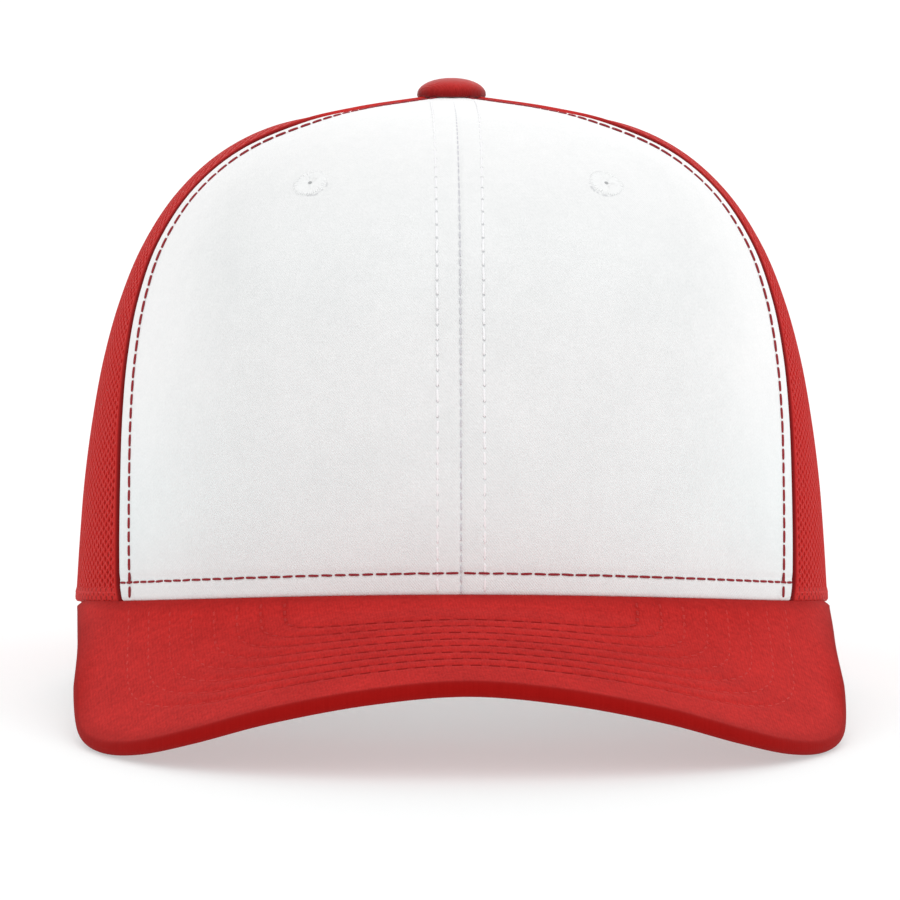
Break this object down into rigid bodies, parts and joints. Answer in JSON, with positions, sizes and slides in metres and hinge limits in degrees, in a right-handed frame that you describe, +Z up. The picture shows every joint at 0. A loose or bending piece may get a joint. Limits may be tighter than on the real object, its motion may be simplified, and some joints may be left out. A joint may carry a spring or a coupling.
{
  "type": "trucker cap",
  "caption": "Structured cap with smooth front panels, mesh sides and back, a curved peak, a covered top button and an open strap closure at the back.",
  "frame": {"origin": "bottom centre of the cap's box, on the surface that the cap rests on", "axes": "+Z up, the front and the peak towards -Y, left as seen from the front towards -X"},
  "size_m": [0.177, 0.2624, 0.1416],
  "materials": {
    "front_twill": "white twill over a stiff backing, matt",
    "crown_mesh": "red warp-knitted polyester mesh with small hexagonal holes",
    "white_thread": "white embroidery thread with a slight sheen",
    "peak_twill": "red cotton twill, matt",
    "band_twill": "red cotton twill, matt",
    "binding_tape": "red woven tape",
    "strap_plastic": "red moulded plastic with a soft sheen"
  },
  "bodies": {
    "root": {"front_panel_left": "front_twill", "front_panel_right": "front_twill", "mesh_side_left": "crown_mesh", "mesh_side_right": "crown_mesh", "mesh_back_left": "crown_mesh", "mesh_back_right": "crown_mesh", "eyelet_left": "white_thread", "eyelet_right": "white_thread", "peak_top_cover": "peak_twill", "peak_under_cover": "peak_twill", "button": "peak_twill", "sweatband": "band_twill", "opening_binding": "binding_tape", "back_strap": "strap_plastic"}
  },
  "joints": []
}
